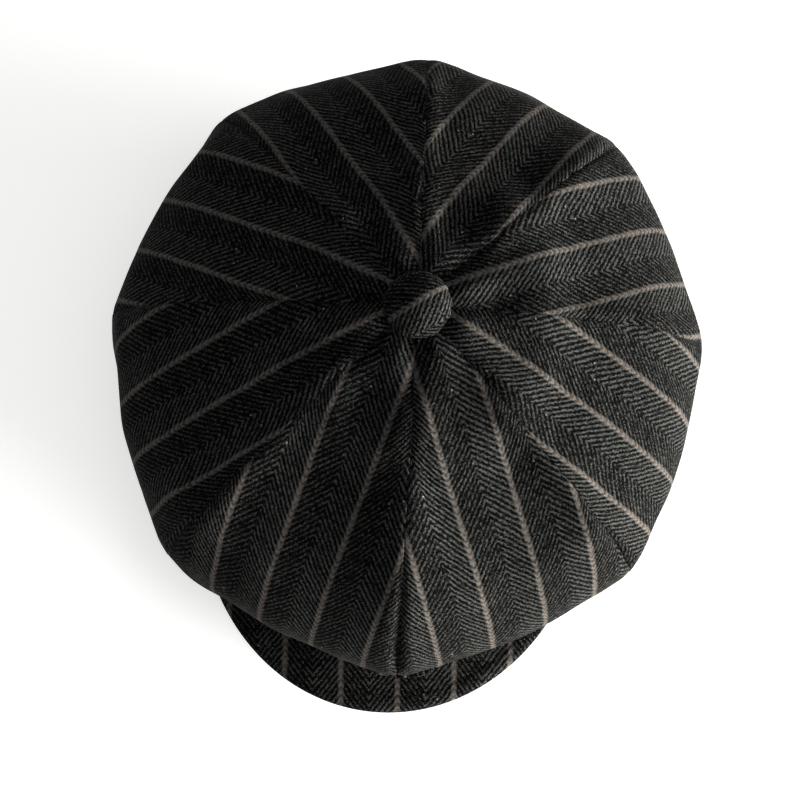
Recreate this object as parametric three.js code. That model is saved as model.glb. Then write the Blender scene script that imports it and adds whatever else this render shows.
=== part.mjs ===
import * as THREE from 'three';

// Newsboy cap: eight wool gores gathered onto a band, a stiff peak in front, a covered button on
// top, a satin lining and a sweatband inside. Millimetres, +Z up, the peak points along -Y, and
// "left" is -X. The band's lower edge stands on z = 0. An azimuth is measured about the vertical
// line through the button, from the front seam (0) through the right side (a quarter turn).

// Head opening: an oval measured at the sweatband's inner face, about 58 cm round
const HEAD_HALF_WIDTH = 82;
const HEAD_HALF_LENGTH = 100;

// Gap that separates pieces which are sewn or pressed together
const GAP = 0.3;

// Wider gap where an edge made of a few straight steps runs round the oval of the band
const HEM_GAP = 1;

// Band, in layers counted outwards from the head opening
const SWEATBAND_THICKNESS = 1.4;
const STIFFENER_THICKNESS = 1.2;
const BAND_THICKNESS = 1.8;
const BAND_HEIGHT = 25;
const BAND_FOLD = 1.6;
const BAND_FOLD_INSET = 0.4;
const SWEATBAND_TOP = 32;
const STIFFENER_TOP = 23.5;
const STIFFENER_INNER = SWEATBAND_THICKNESS + GAP;
const BAND_INNER = STIFFENER_INNER + STIFFENER_THICKNESS + GAP;
const BAND_OUTER = BAND_INNER + BAND_THICKNESS;
const RING_STEPS = 48;

// Crown: the button's place, and how far each seam reaches from it at the rim, the widest line
const BUTTON_Y = 18;
const APEX_HEIGHT = 112;
const SEAM_REACH = [154, 146, 130, 126, 123];
const RIM_HEIGHT_SIDE = 45;
const RIM_HEIGHT_FRONT = 25;
const RIM_DROOP_POWER = 3;
const CROWN_HEM_HEIGHT = 21.5;
const EDGE_FLATNESS = 0.035;
const PANEL_SAG = 4;
const CLOTH_THICKNESS = 1.6;
const BUTTON_HOLE_RADIUS = 4;
const LINING_INSET = 4.5;
const LINING_THICKNESS = 0.5;
const PANEL_ANGLE = Math.PI / 4;

// Peak: a crescent between the band's front and half an ellipse
const PEAK_REACH = 152;
const PEAK_CENTRE_Y = -52;
const PEAK_HALF_WIDTH = 88.7;
const PEAK_HORN_Y = -36;
const PEAK_ROOT_HEIGHT = 19;
const PEAK_ARCH = 8;
const PEAK_SLOPE = 0.09;
const PEAK_TOP_THICKNESS = 1.3;
const PEAK_BOARD_THICKNESS = 1.8;
const PEAK_UNDER_THICKNESS = 1.1;
const PEAK_STATIONS = 20;

// Button: a cloth cover over a metal dome, closed by a back plate whose shank holds a washer
const BUTTON_RADIUS = 13.7;
const BUTTON_HEIGHT = 9.2;
const BUTTON_COVER_THICKNESS = 1;
const BUTTON_SHELL_THICKNESS = 0.6;
const BUTTON_COVER_OPENING = 8;
const BUTTON_BACK_THICKNESS = 0.8;
const SHANK_RADIUS = 1.8;
const WASHER_RADIUS = 9;
const WASHER_THICKNESS = 0.9;
const WASHER_DROP = 1.5;
const BUTTON_STEPS = 24;

// Blank labels
const PATCH_SIZE = [46, 28];
const PATCH_THICKNESS = 0.5;
const PATCH_CENTRE_Y = 62;
const TAB_SIZE = [18, 0.6, 12];
const TAB_Y = 98.6;
const TAB_Z = 25;

const FINISHES = {
  wool: { color: 0x2b2b29, roughness: 0.95, metalness: 0 },
  satin: { color: 0x17171a, roughness: 0.45, metalness: 0 },
  ribbon: { color: 0x1d1d1e, roughness: 0.8, metalness: 0 },
  buckram: { color: 0xcfc8b6, roughness: 0.9, metalness: 0 },
  board: { color: 0xd8d4ca, roughness: 0.6, metalness: 0 },
  metal: { color: 0xb9babd, roughness: 0.35, metalness: 1 },
  label: { color: 0x8a8780, roughness: 0.7, metalness: 0 },
};

const cap = new THREE.Group();
cap.position.y = (PEAK_REACH - (BUTTON_Y + SEAM_REACH[4])) / 2;

function addPiece(name, geometry, finish) {
  const mesh = new THREE.Mesh(geometry, new THREE.MeshStandardMaterial(FINISHES[finish]));
  mesh.name = name;
  cap.add(mesh);
}

/** Signed volume under a list of triangles, positive when they face outwards. */
function signedVolume(points, faces) {
  const corner = faces.map((index) => new THREE.Vector3(...points[index]));
  let sum = 0;
  for (let i = 0; i < corner.length; i += 3) {
    sum += corner[i].dot(corner[i + 1].clone().cross(corner[i + 2])) / 6;
  }
  return sum;
}

/** Triangles that fill a flat outline, wound the way the outline runs. */
function capFaces(outline) {
  const flat = outline.map(([x, y]) => new THREE.Vector2(x, y));
  const direction = Math.sign(THREE.ShapeUtils.area(flat));
  return THREE.ShapeUtils.triangulateShape(flat, []).map((face) => {
    const turn = Math.sign(THREE.ShapeUtils.area(face.map((index) => flat[index])));
    return turn === direction ? face : [face[0], face[2], face[1]];
  });
}

/**
 * Closed solid through a row of closed sections with equal point counts. Without outlines the
 * row joins up into a ring. With outlines, the flat shapes of the two end sections close it.
 */
function sweepSolid(sections, outlines = null) {
  const count = sections[0].length;
  const points = sections.flat();
  const spans = outlines ? sections.length - 1 : sections.length;
  const faces = [];
  for (let i = 0; i < spans; i += 1) {
    const here = i * count;
    const there = ((i + 1) % sections.length) * count;
    for (let j = 0; j < count; j += 1) {
      const k = (j + 1) % count;
      faces.push(here + j, there + j, there + k, here + j, there + k, here + k);
    }
  }
  if (outlines) {
    const end = (sections.length - 1) * count;
    capFaces(outlines[0]).forEach(([a, b, c]) => faces.push(a, b, c));
    capFaces(outlines[1]).forEach(([a, b, c]) => faces.push(end + a, end + c, end + b));
  }
  if (signedVolume(points, faces) < 0) {
    faces.reverse();
  }
  const geometry = new THREE.BufferGeometry();
  geometry.setAttribute('position', new THREE.Float32BufferAttribute(points.flat(), 3));
  geometry.setIndex(faces);
  geometry.computeVertexNormals();
  return geometry;
}

const steps = (count) => Array.from({ length: count + 1 }, (_, i) => i / count);

// --- Band ---

/** Ring whose section, given as [offset from the head opening, height] points, follows the oval. */
function ovalRing(section) {
  const sections = [];
  for (let i = 0; i < RING_STEPS; i += 1) {
    const angle = (2 * Math.PI * i) / RING_STEPS;
    sections.push(section.map(([offset, z]) => [
      (HEAD_HALF_WIDTH + offset) * Math.sin(angle),
      -(HEAD_HALF_LENGTH + offset) * Math.cos(angle),
      z,
    ]));
  }
  return sweepSolid(sections);
}

function uprightStrip(inner, outer, bottom, top) {
  return ovalRing([[inner, bottom], [outer, bottom], [outer, top], [inner, top]]);
}

/** The outer band is folded under the stiffener and the sweatband, and stands on that fold. */
function outerBand() {
  return ovalRing([
    [BAND_FOLD_INSET, 0],
    [BAND_OUTER, 0],
    [BAND_OUTER, BAND_HEIGHT],
    [BAND_INNER, BAND_HEIGHT],
    [BAND_INNER, BAND_FOLD],
    [BAND_FOLD_INSET, BAND_FOLD],
  ]);
}

addPiece('outer_band', outerBand(), 'wool');
addPiece(
  'band_stiffener',
  uprightStrip(STIFFENER_INNER, STIFFENER_INNER + STIFFENER_THICKNESS, BAND_FOLD + GAP, STIFFENER_TOP),
  'buckram',
);
addPiece('sweatband', uprightStrip(0, SWEATBAND_THICKNESS, BAND_FOLD + GAP, SWEATBAND_TOP), 'ribbon');

// --- Crown and lining ---

/** Distance from the button's axis to the oval grown by `offset`, along an azimuth. */
function ovalReach(azimuth, offset) {
  const across = Math.sin(azimuth) / (HEAD_HALF_WIDTH + offset);
  const along = Math.cos(azimuth) / (HEAD_HALF_LENGTH + offset);
  const shift = BUTTON_Y / (HEAD_HALF_LENGTH + offset);
  const square = across * across + along * along;
  const half = shift * along;
  return (half + Math.sqrt(half * half - square * (shift * shift - 1))) / square;
}

/** Rim reach: each panel's edge runs between its two seams' reaches and is flatter than an arc. */
function rimReach(azimuth) {
  const turn = Math.abs(azimuth) / PANEL_ANGLE;
  const panel = Math.min(Math.floor(turn), SEAM_REACH.length - 2);
  const part = turn - panel;
  const reach = THREE.MathUtils.lerp(SEAM_REACH[panel], SEAM_REACH[panel + 1], part);
  return reach * (1 - EDGE_FLATNESS * Math.sin(Math.PI * part));
}

/** Rim height: level round the sides and back, drooping over the peak in front. */
function rimHeight(azimuth, inset) {
  const frontness = ((1 + Math.cos(azimuth)) / 2) ** RIM_DROOP_POWER;
  return THREE.MathUtils.lerp(RIM_HEIGHT_SIDE, RIM_HEIGHT_FRONT + inset, frontness);
}

/**
 * Point of the crown's vertical section at an azimuth, as [distance from the button's axis,
 * height]. `way` runs from 0 at the apex over a quarter ellipse to 1 at the rim, and from there
 * over a second one to 2 at the hem. `inset` shrinks both ellipses for the layers inside.
 */
function crownSection(azimuth, way, inset, hemOffset) {
  const rim = rimReach(azimuth) - inset;
  const rimZ = rimHeight(azimuth, inset);
  if (way <= 1) {
    const angle = (way * Math.PI) / 2;
    const sag = PANEL_SAG * Math.abs(Math.sin((azimuth * Math.PI) / PANEL_ANGLE)) * Math.sin(way * Math.PI);
    return [rim * Math.sin(angle), rimZ + (APEX_HEIGHT - inset - rimZ) * Math.cos(angle) - sag];
  }
  const angle = ((way - 1) * Math.PI) / 2;
  const hem = ovalReach(azimuth, hemOffset);
  const hemZ = CROWN_HEM_HEIGHT + inset;
  return [hem + (rim - hem) * Math.cos(angle), hemZ + (rimZ - hemZ) * (1 - Math.sin(angle))];
}

/**
 * One gore of the crown or lining: a curved sheet between two seam planes. The end azimuths
 * close in so that a GAP is left along each seam, however near the button the seam runs.
 */
function gore(panel, inset, thickness, hemOffset, acrossSteps, wayCount) {
  const first = (2 / Math.PI) * Math.asin(BUTTON_HOLE_RADIUS / SEAM_REACH[0]);
  const ways = steps(wayCount).map((part) => first + (1 - first) * part);
  const under = Math.ceil(wayCount / 2);
  ways.push(...steps(under).slice(1).map((part) => 1 + part));
  const layers = [
    ...ways.map((way) => [way, inset]),
    ...[...ways].reverse().map((way) => [way, inset + thickness]),
  ];
  const start = panel * PANEL_ANGLE;
  const profile = (azimuth) => layers.map(([way, depth]) => crownSection(azimuth, way, depth, hemOffset));
  const sections = steps(acrossSteps).map((part) => {
    const azimuth = start + part * PANEL_ANGLE;
    return profile(azimuth).map(([reach, z]) => {
      const inward = ((0.5 - part) * GAP) / reach;
      return [reach * Math.sin(azimuth + inward), BUTTON_Y - reach * Math.cos(azimuth + inward), z];
    });
  });
  return sweepSolid(sections, [profile(start), profile(start + PANEL_ANGLE)]);
}

// Panels in order from the front seam round by the right; index 0 starts at azimuth 0
const PANEL_NAMES = [
  'front_right', 'right_front', 'right_back', 'back_right',
  'back_left', 'left_back', 'left_front', 'front_left',
];

PANEL_NAMES.forEach((name, index) => {
  const panel = index < 4 ? index : index - 8;
  addPiece(`crown_panel_${name}`, gore(panel, 0, CLOTH_THICKNESS, BAND_OUTER + HEM_GAP, 6, 9), 'wool');
  addPiece(
    `lining_panel_${name}`,
    gore(panel, LINING_INSET, LINING_THICKNESS, SWEATBAND_THICKNESS + HEM_GAP, 4, 7),
    'satin',
  );
});

// --- Peak ---

/** The crescent's inner line on the band's front and its outer line, at -1 to 1 across. */
function peakEnds(across) {
  const width = HEAD_HALF_WIDTH + BAND_OUTER;
  const length = HEAD_HALF_LENGTH + BAND_OUTER;
  const depth = PEAK_REACH + PEAK_CENTRE_Y;
  const inner = across * Math.acos(-PEAK_HORN_Y / length);
  const outer = across * Math.acos((PEAK_CENTRE_Y - PEAK_HORN_Y) / depth);
  return [
    new THREE.Vector2(width * Math.sin(inner), -length * Math.cos(inner)),
    new THREE.Vector2(PEAK_HALF_WIDTH * Math.sin(outer), PEAK_CENTRE_Y - depth * Math.cos(outer)),
  ];
}

/** Point of the peak at a distance from the band and a depth under its arched top face. */
function peakPoint(across, distance, depth) {
  const [root, edge] = peakEnds(across);
  const spot = root.clone().lerp(edge, distance / root.distanceTo(edge));
  const arch = PEAK_ARCH * (spot.x / PEAK_HALF_WIDTH) ** 2;
  return [spot.x, spot.y, PEAK_ROOT_HEIGHT - arch - PEAK_SLOPE * distance - depth];
}

/** Layer of the peak between two depths; a lip hangs from its outer edge when one is given. */
function peakLayer(edgeInset, top, bottom, lip = null) {
  const outlineAt = (across) => {
    const [root, edge] = peakEnds(across);
    const end = root.distanceTo(edge) - edgeInset;
    const over = steps(5).map((part) => [HEM_GAP + (end - HEM_GAP) * part, top]);
    const lipEnd = lip ? end - lip.thickness : end;
    const under = steps(5).map((part) => [HEM_GAP + (lipEnd - HEM_GAP) * part, bottom]).reverse();
    const hanging = lip ? [[end, lip.depth], [lipEnd, lip.depth]] : [];
    return [...over, ...hanging, ...under];
  };
  const places = steps(PEAK_STATIONS).map((part) => 2 * part - 1);
  const sections = places.map((across) => outlineAt(across).map(([d, depth]) => peakPoint(across, d, depth)));
  return sweepSolid(sections, [outlineAt(-1), outlineAt(1)]);
}

const BOARD_TOP = PEAK_TOP_THICKNESS + GAP;
const UNDER_TOP = BOARD_TOP + PEAK_BOARD_THICKNESS + GAP;
const PEAK_THICKNESS = UNDER_TOP + PEAK_UNDER_THICKNESS;
const peakLip = { thickness: PEAK_TOP_THICKNESS, depth: PEAK_THICKNESS };
const insideLip = PEAK_TOP_THICKNESS + GAP;
addPiece('peak_top_cover', peakLayer(0, 0, PEAK_TOP_THICKNESS, peakLip), 'wool');
addPiece('peak_board', peakLayer(insideLip, BOARD_TOP, BOARD_TOP + PEAK_BOARD_THICKNESS), 'board');
addPiece('peak_under_cover', peakLayer(insideLip, UNDER_TOP, PEAK_THICKNESS), 'wool');

// --- Button ---

/** Round piece turned about the button's axis from [radius, height over the apex] points. */
function turned(outline) {
  const profile = outline.map(([radius, height]) => new THREE.Vector2(radius, height));
  if (THREE.ShapeUtils.area(profile) < 0) {
    profile.reverse();
  }
  const geometry = new THREE.LatheGeometry(profile, BUTTON_STEPS);
  geometry.rotateX(Math.PI / 2);
  geometry.translate(0, BUTTON_Y, APEX_HEIGHT + GAP);
  return geometry;
}

/** Dome from the axis down to the rim, `inset` under the button's outer face. */
function domeArc(inset, base) {
  return steps(6).map((part) => {
    const angle = (part * Math.PI) / 2;
    const radius = part === 0 ? 0 : (BUTTON_RADIUS - inset) * Math.sin(angle);
    return [radius, base + (BUTTON_HEIGHT - base - inset) * Math.cos(angle)];
  });
}

const domeBase = BUTTON_COVER_THICKNESS + GAP;
const shellInset = BUTTON_COVER_THICKNESS + GAP;
const backRadius = BUTTON_RADIUS - shellInset - BUTTON_SHELL_THICKNESS - GAP;

function buttonCover() {
  return turned([
    ...domeArc(BUTTON_COVER_THICKNESS, domeBase),
    [BUTTON_RADIUS - BUTTON_COVER_THICKNESS, BUTTON_COVER_THICKNESS],
    [BUTTON_COVER_OPENING, BUTTON_COVER_THICKNESS],
    [BUTTON_COVER_OPENING, 0],
    [BUTTON_RADIUS - BUTTON_COVER_THICKNESS, 0],
    ...domeArc(0, domeBase).reverse(),
  ]);
}

function buttonShell() {
  return turned([
    ...domeArc(shellInset, domeBase),
    ...domeArc(shellInset + BUTTON_SHELL_THICKNESS, domeBase).reverse(),
  ]);
}

function disc(radius, bottom, thickness) {
  return turned([[0, bottom], [radius, bottom], [radius, bottom + thickness], [0, bottom + thickness]]);
}

const washerTop = -CLOTH_THICKNESS - WASHER_DROP;
const backBottom = domeBase;
addPiece('button_cover', buttonCover(), 'wool');
addPiece('button_shell', buttonShell(), 'metal');
addPiece('button_back_plate', disc(backRadius, backBottom, BUTTON_BACK_THICKNESS), 'metal');
addPiece('button_shank', disc(SHANK_RADIUS, washerTop + GAP, backBottom - washerTop - 2 * GAP), 'metal');
addPiece('button_washer', disc(WASHER_RADIUS, washerTop - WASHER_THICKNESS, WASHER_THICKNESS), 'metal');

// --- Blank labels ---

/** Underside of the lining over a point of the plan. */
function liningCeiling(x, y) {
  const azimuth = Math.atan2(x, BUTTON_Y - y);
  const inset = LINING_INSET + LINING_THICKNESS;
  const way = (2 / Math.PI) * Math.asin(Math.hypot(x, y - BUTTON_Y) / (rimReach(azimuth) - inset));
  return crownSection(azimuth, way, inset, 0)[1];
}

/** Oblong patch that follows the lining's underside. */
function liningPatch() {
  const sections = steps(6).map((part) => {
    const x = PATCH_SIZE[0] * (part - 0.5);
    const rows = steps(3).map((share) => PATCH_CENTRE_Y + PATCH_SIZE[1] * (share - 0.5));
    const upper = rows.map((y) => [x, y, liningCeiling(x, y) - 2 * GAP]);
    const lower = rows.map((y) => [x, y, liningCeiling(x, y) - 2 * GAP - PATCH_THICKNESS]).reverse();
    return [...upper, ...lower];
  });
  const outlines = [sections[0], sections[6]].map((loop) => loop.map(([, y, z]) => [y, z]));
  return sweepSolid(sections, outlines);
}

function sizeTab() {
  const geometry = new THREE.BoxGeometry(...TAB_SIZE);
  geometry.translate(0, TAB_Y, TAB_Z);
  return geometry;
}

addPiece('lining_patch', liningPatch(), 'label');
addPiece('size_tab', sizeTab(), 'label');

export default cap;
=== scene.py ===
import math

import bmesh
import bpy
import numpy as np
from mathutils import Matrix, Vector


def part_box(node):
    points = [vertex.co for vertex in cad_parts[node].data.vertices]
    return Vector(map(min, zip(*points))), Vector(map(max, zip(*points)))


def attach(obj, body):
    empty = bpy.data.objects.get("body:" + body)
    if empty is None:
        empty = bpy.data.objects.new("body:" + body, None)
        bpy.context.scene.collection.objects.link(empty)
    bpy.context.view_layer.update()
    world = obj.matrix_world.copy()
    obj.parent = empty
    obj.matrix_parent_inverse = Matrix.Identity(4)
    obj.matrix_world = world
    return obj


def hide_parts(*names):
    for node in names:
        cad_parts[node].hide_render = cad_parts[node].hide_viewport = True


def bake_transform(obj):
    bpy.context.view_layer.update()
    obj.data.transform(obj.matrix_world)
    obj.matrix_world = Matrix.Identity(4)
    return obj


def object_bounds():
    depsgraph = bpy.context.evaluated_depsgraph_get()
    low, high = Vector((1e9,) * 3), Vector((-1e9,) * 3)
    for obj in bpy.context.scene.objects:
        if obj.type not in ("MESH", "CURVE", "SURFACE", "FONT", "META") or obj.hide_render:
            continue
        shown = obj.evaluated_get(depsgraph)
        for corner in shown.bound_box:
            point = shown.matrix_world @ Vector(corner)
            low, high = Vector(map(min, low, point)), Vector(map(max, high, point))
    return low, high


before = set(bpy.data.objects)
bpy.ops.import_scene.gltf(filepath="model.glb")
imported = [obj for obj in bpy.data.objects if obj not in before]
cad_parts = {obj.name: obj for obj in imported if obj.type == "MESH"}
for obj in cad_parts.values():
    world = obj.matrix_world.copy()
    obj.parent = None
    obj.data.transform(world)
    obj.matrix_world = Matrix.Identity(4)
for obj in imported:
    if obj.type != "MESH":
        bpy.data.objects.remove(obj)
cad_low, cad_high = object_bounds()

# --- Table and studio ---
# The cap stands on its band on a pale opal table. The table glows faintly by its own emission, with
# no lamp under it: painted light that keeps the shadows on it light. A wide soft box on the right in
# front lights it at a low angle, as a window would, and a weak overhead panel fills the far side.
MM = 0.001
middle = (cad_low + cad_high) / 2
TABLE_HALF = 8.0
# The table's top is just under the band, so that the two never share a plane.
TABLE_TOP = -0.2 * MM
floor_mesh = bpy.data.meshes.new("table")
corners = [(-1, -1), (1, -1), (1, 1), (-1, 1)]
floor_points = [(x * TABLE_HALF, y * TABLE_HALF, TABLE_TOP) for x, y in corners]
floor_mesh.from_pydata(floor_points, [], [(0, 1, 2, 3)])
table = bpy.data.objects.new("table", floor_mesh)
bpy.context.scene.collection.objects.link(table)


def linear(hex_colour):
    """Linear RGBA of an sRGB hex colour: each byte over 255, through the sRGB curve."""
    parts = [int(hex_colour[i:i + 2], 16) / 255 for i in (1, 3, 5)]
    return (*[p / 12.92 if p <= 0.04045 else ((p + 0.055) / 1.055) ** 2.4 for p in parts], 1.0)


def node(tree, kind, inputs=None, **settings):
    """Adds a node, sets its properties, and fills its inputs with values, sockets or other nodes."""
    made = tree.nodes.new(kind)
    for name, value in settings.items():
        setattr(made, name, value)
    for key, value in (inputs or {}).items():
        if isinstance(value, bpy.types.Node):
            value = value.outputs[0]
        if isinstance(value, bpy.types.NodeSocket):
            tree.links.new(value, made.inputs[key])
        else:
            made.inputs[key].default_value = value
    return made


def new_material(name):
    """An empty node material and its tree."""
    material = bpy.data.materials.new(name)
    material.use_nodes = True
    material.node_tree.nodes.clear()
    return material, material.node_tree


# The table's emission strength: a painted glow, since no lamp is under the table.
TABLE_PAINTED_GLOW = 0.42


def opal_table():
    """Opal acrylic with a sanded face: nearly flat white with a faint unevenness in its roughness,
    and a weak painted glow, an emission of its own with no lamp behind it, that keeps shadows on it
    light."""
    material, tree = new_material("opal_acrylic")
    place = node(tree, "ShaderNodeTexCoord").outputs["Object"]
    spray = node(tree, "ShaderNodeTexNoise", {"Vector": place, "Scale": 9.0, "Detail": 3.0})
    rough = node(tree, "ShaderNodeMapRange", {0: spray.outputs[0], 3: 0.75, 4: 0.9})
    shader = node(tree, "ShaderNodeBsdfPrincipled", {
        "Base Color": linear("#f4f3f1"), "Roughness": rough,
        "Emission Color": linear("#fffefc"), "Emission Strength": TABLE_PAINTED_GLOW})
    node(tree, "ShaderNodeOutputMaterial", {"Surface": shader.outputs[0]})
    return material


table.data.materials.append(opal_table())

KEY_POWER = 370.0
FILL_POWER = 1.0
SKY_STRENGTH = 0.4


def soft_box(name, place, size, power, colour):
    """Rectangular area light, of a width and height in metres, at a place from the cap's middle,
    facing the cap."""
    light = bpy.data.lights.new(name, "AREA")
    light.shape = "RECTANGLE"
    light.size, light.size_y = size
    light.energy = power
    light.color = linear(colour)[:3]
    lamp = bpy.data.objects.new(name, light)
    lamp.location = middle + Vector(place)
    lamp.rotation_mode = "QUATERNION"
    lamp.rotation_quaternion = (-Vector(place)).to_track_quat("-Z", "Y")
    lamp.visible_camera = False
    bpy.context.scene.collection.objects.link(lamp)


soft_box("key_box", (2.83, -0.68, 0.3), (2.4, 0.6), KEY_POWER, "#fffdf9")
soft_box("fill_panel", (-0.3, 0.2, 1.7), (1.6, 1.6), FILL_POWER, "#f6f9ff")
world = bpy.data.worlds.new("studio")
world.use_nodes = True
world.node_tree.nodes["Background"].inputs["Color"].default_value = linear("#f3f5f8")
world.node_tree.nodes["Background"].inputs["Strength"].default_value = SKY_STRENGTH
bpy.context.scene.world = world
bpy.context.scene.view_settings.view_transform = "Standard"
bpy.context.scene.view_settings.look = "Medium High Contrast"

# The camera looks almost straight down, a little from in front, and is turned so that the cap
# leans to the right at its back.
CAMERA_DISTANCE = 1.0
CAMERA_TILT_FRONT = math.radians(7.25)
CAMERA_ROLL = math.radians(6.98)
CAMERA_LENS = 102.0
AIM = Vector((-0.0024, -0.0091, 0.05))
camera_back = Vector((0, -math.sin(CAMERA_TILT_FRONT), math.cos(CAMERA_TILT_FRONT)))
camera_data = bpy.data.cameras.new("camera")
camera_data.lens = CAMERA_LENS
camera_data.sensor_width = 36.0
camera = bpy.data.objects.new("camera", camera_data)
camera.location = AIM + camera_back * CAMERA_DISTANCE
camera.rotation_mode = "QUATERNION"
across_view = Vector((math.cos(CAMERA_ROLL), math.sin(CAMERA_ROLL), 0))
up_view = camera_back.cross(across_view).normalized()
level = (-camera_back).to_track_quat("-Z", "Y")
twist = (level @ Vector((0, 1, 0))).rotation_difference(up_view)
camera.rotation_quaternion = twist @ level
bpy.context.scene.collection.objects.link(camera)
bpy.context.scene.camera = camera

# --- Crown ---
# Eight wedges of charcoal herringbone wool, sewn edge to edge from the button to the band and
# turned in under the rim. The seams are pressed open inside, which makes them firm ridges, and
# the cloth between them sags. Each wedge's stripes run roughly along its own middle.
INCH = 25.4
WEDGE = math.pi / 4
CLOTH_THICKNESS = 1.6


def box_mm(name):
    """A CAD node's lowest and highest corner in millimetres."""
    low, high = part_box(name)
    return np.array(low) / MM, np.array(high) / MM


button_low, button_high = box_mm("button_cover")
button_x, button_y = (button_low + button_high)[:2] / 2
band_low, band_high = box_mm("outer_band")
band_centre_y = (band_low[1] + band_high[1]) / 2
band_half = (band_high - band_low)[:2] / 2
front_low, front_high = box_mm("crown_panel_front_right")
fore_low = box_mm("crown_panel_right_front")[0]
side_high = box_mm("crown_panel_right_back")[1]
back_high = box_mm("crown_panel_back_right")[1]
seam_reach = np.array([
    button_y - front_low[1],
    (button_y - fore_low[1]) / math.cos(WEDGE),
    side_high[0] - button_x,
    (side_high[1] - button_y) / math.cos(WEDGE),
    back_high[1] - button_y,
])
# The soft crown doesn't sit quite true on its band. The whole of it lies turned by a few degrees,
# has slid to the left, and is spread a little at both sides. Its eight seams stay evenly spaced.
# Between two seams the rim is drawn in by the same amount all round.
CROWN_TURN = math.radians(4)
CROWN_SLIDE = 3.0
SIDE_SPREAD = 2.0
RIM_DRAWN_IN = 3.0
sewn_at = np.arange(-4, 5) * WEDGE
seam_reach = np.concatenate([seam_reach[::-1], seam_reach[1:]])
seam_reach = seam_reach - CROWN_SLIDE * np.sin(sewn_at) + SIDE_SPREAD * np.sin(sewn_at) ** 2
CORNER_SOFTNESS = 0.13
# How far each seam dives in beside the button, as a share of the puff round it.
SEAM_DIVE = np.array([0.8, 1.3, 1.6, 0.7, 0.8, 0.7, 1.0, 1.1, 0.8])
apex_height = front_high[2]
hem_height = front_low[2]
HEM_GAP = 1.0
RIM_SIDE = 45.0
RIM_FRONT = 25.0
DROOP_POWER = 3
SAG_BACK = 3.0
SAG_FRONT = 6.0
PUFF = 4.2


def smoothstep(value, low, high):
    """0 below low, 1 above high, and 3t^2 - 2t^3 between."""
    t = np.clip((value - low) / (high - low), 0, 1)
    return t * t * (3 - 2 * t)


# The rim's reach is straight from seam to seam, less a sine. The cloth can't turn a sharp corner
# at a seam, so the rim is then averaged round itself with a bell curve whose half width is
# CORNER_SOFTNESS of a wedge. It is cut off BELL_REACH steps out, where it is next to nothing.
RIM_STEPS = 100
BELL_REACH = 40
rim_turns = np.linspace(0, 8, 8 * RIM_STEPS + 1)
sharp_rim = np.interp(rim_turns, np.arange(9), seam_reach)
sharp_rim -= RIM_DRAWN_IN * np.sin(np.pi * (rim_turns % 1))
bell_step = np.arange(-BELL_REACH, BELL_REACH + 1) / (RIM_STEPS * CORNER_SOFTNESS)
bell = np.exp(-(bell_step**2) / 2)
around = [sharp_rim[-BELL_REACH - 1:-1], sharp_rim, sharp_rim[1:BELL_REACH + 1]]
soft_rim = np.convolve(np.concatenate(around), bell / bell.sum(), "valid")


def oval_reach(azimuth, offset):
    """Distance from the button's axis to the band's oval grown by offset, along an azimuth: the
    positive root of the quadratic that puts the ray's point on the ellipse."""
    across = np.sin(azimuth) / (band_half[0] + offset)
    along = np.cos(azimuth) / (band_half[1] + offset)
    shift = (button_y - band_centre_y) / (band_half[1] + offset)
    square = across**2 + along**2
    half = shift * along
    return (half + np.sqrt(half**2 - square * (shift**2 - 1))) / square


def lies(azimuth):
    """Where an azimuth of the sewn crown has come to lie: the same turn for every one."""
    return azimuth + CROWN_TURN


def dome(azimuth, way, inset, hem_offset):
    """Crown surface in millimetres. From the apex (way 0) a quarter ellipse drops to the rim
    (way 1), and a second one turns under to the hem (way 2). Between seams the top sags by a sine,
    and the cloth puffs up round the button that holds it down, less at the seams."""
    turn = azimuth / WEDGE + 4
    wedge = np.clip(np.floor(turn).astype(int), 0, 7)
    part = turn - wedge
    arch = np.sin(np.pi * part)
    heading = lies(azimuth)
    frontness = ((1 + np.cos(heading)) / 2) ** DROOP_POWER
    rim = np.interp(turn, rim_turns, soft_rim) - inset
    rim_z = RIM_SIDE * (1 - frontness) + (RIM_FRONT + inset) * frontness
    angle = np.clip(way, 0, 1) * np.pi / 2
    under = np.clip(way - 1, 0, 1) * np.pi / 2
    sag = (SAG_BACK + (SAG_FRONT - SAG_BACK) * frontness) * arch
    sag = sag * np.sin(np.pi * np.clip(way, 0, 1) ** 1.3)
    hem = oval_reach(heading, hem_offset)
    hem_z = hem_height + inset
    out = np.where(way <= 1, rim * np.sin(angle), hem + (rim - hem) * np.cos(under))
    dive = SEAM_DIVE[wedge] * (1 - part) + SEAM_DIVE[wedge + 1] * part
    puff = PUFF * smoothstep(out, 9, 24) * (1 - smoothstep(out, 26, 80))
    puff = puff * (1 - dive * (1 - arch**1.5) * (1 - smoothstep(out, 28, 60)))
    top_z = rim_z + (apex_height - inset - rim_z) * np.cos(angle) - sag + puff
    below_z = hem_z + (rim_z - hem_z) * (1 - np.sin(under))
    z = np.where(way <= 1, top_z, below_z)
    return np.stack([button_x + out * np.sin(heading), button_y - out * np.cos(heading), z], -1)


def merge_points(mesh, turn_outwards=False):
    """Merges points that coincide and, if asked, turns the faces of closed shells outwards."""
    joined = bmesh.new()
    joined.from_mesh(mesh)
    bmesh.ops.remove_doubles(joined, verts=joined.verts, dist=0.001 * MM)
    if turn_outwards:
        bmesh.ops.recalc_face_normals(joined, faces=joined.faces)
    joined.to_mesh(mesh)
    joined.free()
    mesh.polygons.foreach_set("use_smooth", np.ones(len(mesh.polygons), bool))


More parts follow.
